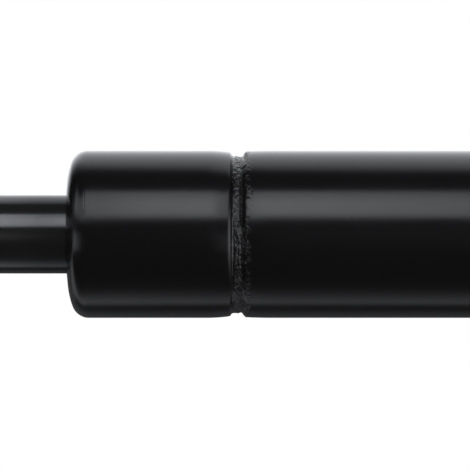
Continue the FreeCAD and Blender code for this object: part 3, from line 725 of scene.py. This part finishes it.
def softbox(name, centre_x, towards, distance, width, height, radiance, in_gloss):
    """A rectangular lamp that faces back along a direction from the object."""
    data = bpy.data.lights.new(name, "AREA")
    data.shape = "RECTANGLE"
    data.size = width
    data.size_y = height
    data.energy = math.pi * width * height * radiance
    data.color = cool_white if in_gloss else white
    lamp = bpy.data.objects.new(name, data)
    bpy.context.scene.collection.objects.link(lamp)
    middle = Vector((centre_x, 0, 0)) + towards * distance
    lamp.matrix_world = Matrix.Translation(middle) @ towards.to_track_quat("Z", "Y").to_matrix().to_4x4()
    lamp.visible_glossy = in_gloss


softbox("key_softbox", camera_x, from_front(41.5), 0.90, 0.20, 0.62, 1.85, True)
softbox("key_core", camera_x - 0.003, from_front(38.5), 0.90, 0.12, 0.33, 0.95, True)
softbox("overhead_softbox", camera_x, Vector((0.1, -0.45, 1.0)).normalized(), 1.4, 1.3, 1.1, 1.4, False)

world = bpy.data.worlds.new("studio")
bpy.context.scene.world = world
world.use_nodes = True
tree = world.node_tree
tree.nodes.clear()


def sky(kind, inputs, result=0, **settings):
    """A node of the studio's surroundings. Returns one of its outputs."""
    return add_node(tree, kind, inputs, result, **settings)


def total(*values):
    """The sum of some values."""
    whole = values[0]
    for value in values[1:]:
        whole = sky("Math", {0: whole, 1: value}, operation="ADD")
    return whole


def product(*values):
    """The product of some values."""
    whole = values[0]
    for value in values[1:]:
        whole = sky("Math", {0: whole, 1: value}, operation="MULTIPLY")
    return whole


def slope(value, start, end):
    """Goes smoothly from 0 where the value is at its start to 1 at its end."""
    inputs = {"Value": value, "From Min": start, "From Max": end}
    return sky("MapRange", inputs, interpolation_type="SMOOTHSTEP")


def patch(level, *edges):
    """A soft-edged patch of light in the room. Each edge is a value, where it starts and where it is full."""
    return product(*[slope(*edge) for edge in edges], level)


# The room is told by direction: to the right, away from the camera, and up, each from -1 to 1.
compass = tree.nodes.new("ShaderNodeSeparateXYZ")
join(tree, compass.inputs[0], sky("TexCoord", {}, "Generated"))
right, away, up = compass.outputs
left = product(right, -1.0)
sideways = sky("Math", {0: right}, operation="ABSOLUTE")
below = sky("Math", {0: up, 1: 0.0}, operation="LESS_THAN")

# The backdrop's light by its angle in degrees: 0 is the camera, 90 is overhead, and 180 is behind the object.
room_light = (
    (-180, 0.05), (-150, 0.08), (-138, 0.085), (-131, 0.05), (-123, 0.03), (-118, 0.03), (-113, 0.12),
    (-109, 0.47), (-103, 0.44), (-97, 0.31), (-91, 0.225), (-85, 0.125), (-79, 0.045), (-60, 0.006),
    (60, 0.006), (88, 0.008), (96, 0.02), (100, 0.30), (104, 0.60), (108, 0.78), (114, 0.98), (122, 1.12),
    (135, 1.20), (148, 1.35), (165, 1.50), (180, 1.50),
)
brightest = max(level for degrees, level in room_light)
facing = total(product(away, -1.0), product(below, sideways, 0.45))
tilt = product(total(slope(right, -0.06, 0.06), -0.5), slope(up, 0.0, 0.3), 0.12)
angle = total(sky("Math", {0: up, 1: facing}, operation="ARCTAN2"), tilt)
ramp = tree.nodes.new("ShaderNodeValToRGB")
join(tree, ramp.inputs[0], sky("MapRange", {"Value": angle, "From Min": -math.pi, "From Max": math.pi}))
stops = ramp.color_ramp.elements
for index, (degrees, level) in enumerate(room_light):
    place = (degrees + 180) / 360
    stop = stops[0] if index == 0 else stops[-1] if index == len(room_light) - 1 else stops.new(place)
    stop.position = place
    stop.color = (level / brightest, level / brightest, level / brightest, 1.0)
right_edge = slope(total(right, product(up, -0.35)), 0.40, 0.02)
left_edge = slope(total(left, product(up, total(up, -1.0), 1.1)), 0.41, 0.02)
above = sky("Math", {0: product(right_edge, left_edge), 1: below}, operation="MAXIMUM")
low_gain = total(1.0, product(below, slope(left, 0.01, 0.10), slope(left, 0.6, 0.3), 0.40))
backdrop = product(ramp.outputs[0], above, low_gain, brightest)

# The rest of the room: boxes to both sides, a window on the right, the horizon and three weak glows.
side_box = patch(
    1.05, (left, 0.06, 0.14), (up, 0.24, 0.36), (total(up, product(left, 0.35)), 0.96, 0.84), (away, 0.14, -0.10))
near_box = patch(
    1.35, (right, 0.08, 0.13), (right, 0.50, 0.30), (up, 0.34, 0.42), (up, 0.88, 0.82), (away, 0.0, -0.2))
right_window = patch(1.4, (right, 0.28, 0.50), (up, -0.85, -0.25), (up, 0.64, 0.20), (away, 0.3, -0.1))
aside = total(slope(right, 0.06, 0.20), slope(left, 0.30, 0.75))
depth = total(0.20, product(slope(away, -0.85, 0.1), 0.85), product(slope(away, 0.5, 0.85), -0.35))
horizon = product(
    aside, slope(total(up, product(away, -0.19)), -0.24, -0.16), slope(up, 0.05, -0.01), slope(away, 0.93, 0.84), depth)
low_left = patch(
    0.34, (left, 0.25, 0.45), (total(up, 0.38, product(away, -0.38)), 0.0, -0.04),
    (total(up, 1.4, product(away, -1.4)), -0.05, 0.10), (away, 0.35, 0.55), (away, 0.86, 0.62))
left_glow = patch(0.24, (left, 0.82, 0.96), (up, 0.05, 0.25), (away, 0.60, 0.25))
right_glow = patch(
    0.15, (right, 0.03, 0.06), (right, 0.13, 0.08), (up, -0.30, 0.0), (up, 0.40, 0.25), (away, -0.5, -0.8))

# Gloss sees the room, matt surfaces are lit by an even sky, and the camera sees white.
every = total(backdrop, side_box, near_box, right_window, horizon, low_left, left_glow, right_glow)
room = sky("Background", {"Color": (*cool_white, 1), "Strength": every})
even = sky("Background", {"Color": (*white, 1), "Strength": 0.60})
blank_white = sky("Background", {"Color": (*white, 1), "Strength": 1.0})
lit = sky("MixShader", {0: sky("LightPath", {}, "Is Diffuse Ray"), 1: room, 2: even})
shown = sky("MixShader", {0: sky("LightPath", {}, "Is Camera Ray"), 1: lit, 2: blank_white})
join(tree, tree.nodes.new("ShaderNodeOutputWorld").inputs["Surface"], shown)
world.cycles.sampling_method = "NONE"

camera_data = bpy.data.cameras.new("camera")
camera_data.lens = lens
camera_data.sensor_width = 36.0
camera_data.clip_start = 0.01
camera_data.clip_end = 50.0
camera = bpy.data.objects.new("camera", camera_data)
camera.location = (camera_x, camera_y, camera_z)
camera.rotation_euler = (math.radians(90), 0, 0)
bpy.context.scene.collection.objects.link(camera)
bpy.context.scene.camera = camera
bpy.context.scene.view_settings.view_transform = "Standard"
